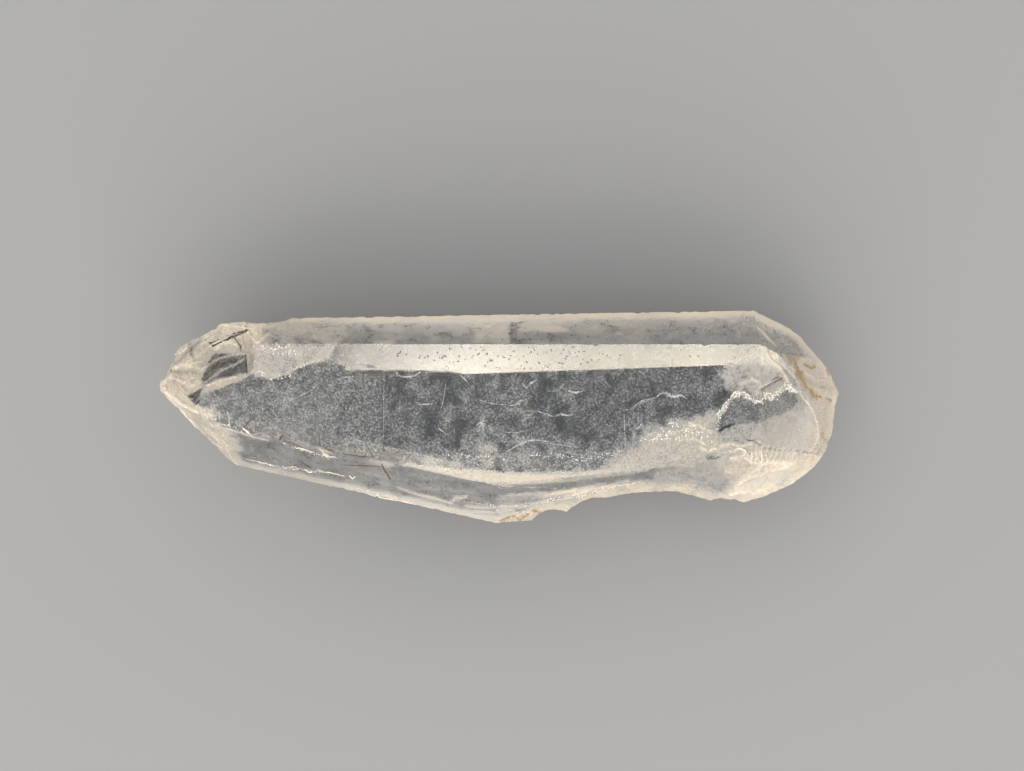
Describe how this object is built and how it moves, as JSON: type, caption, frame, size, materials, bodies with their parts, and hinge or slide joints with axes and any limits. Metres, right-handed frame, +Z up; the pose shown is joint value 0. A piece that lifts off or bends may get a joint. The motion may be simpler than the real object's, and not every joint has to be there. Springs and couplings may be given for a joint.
{
  "type": "quartz crystal specimen",
  "caption": "Single clear quartz crystal lying on a prism face, with a broken left end and a damaged rhombohedral point.",
  "frame": {"origin": "centre of the bounding box's base, on the plane of the prism face that the crystal rests on", "axes": "+X along the crystal's long axis towards the rhombohedral point, +Y towards the straight rear edge, +Z up"},
  "size_m": [0.0844, 0.0264, 0.0189],
  "materials": {
    "quartz": "clear faces with frosted grey sides, cream frosted broken surfaces and a few iron stains"
  },
  "bodies": {
    "root": {"quartz_crystal": "quartz"}
  },
  "joints": []
}
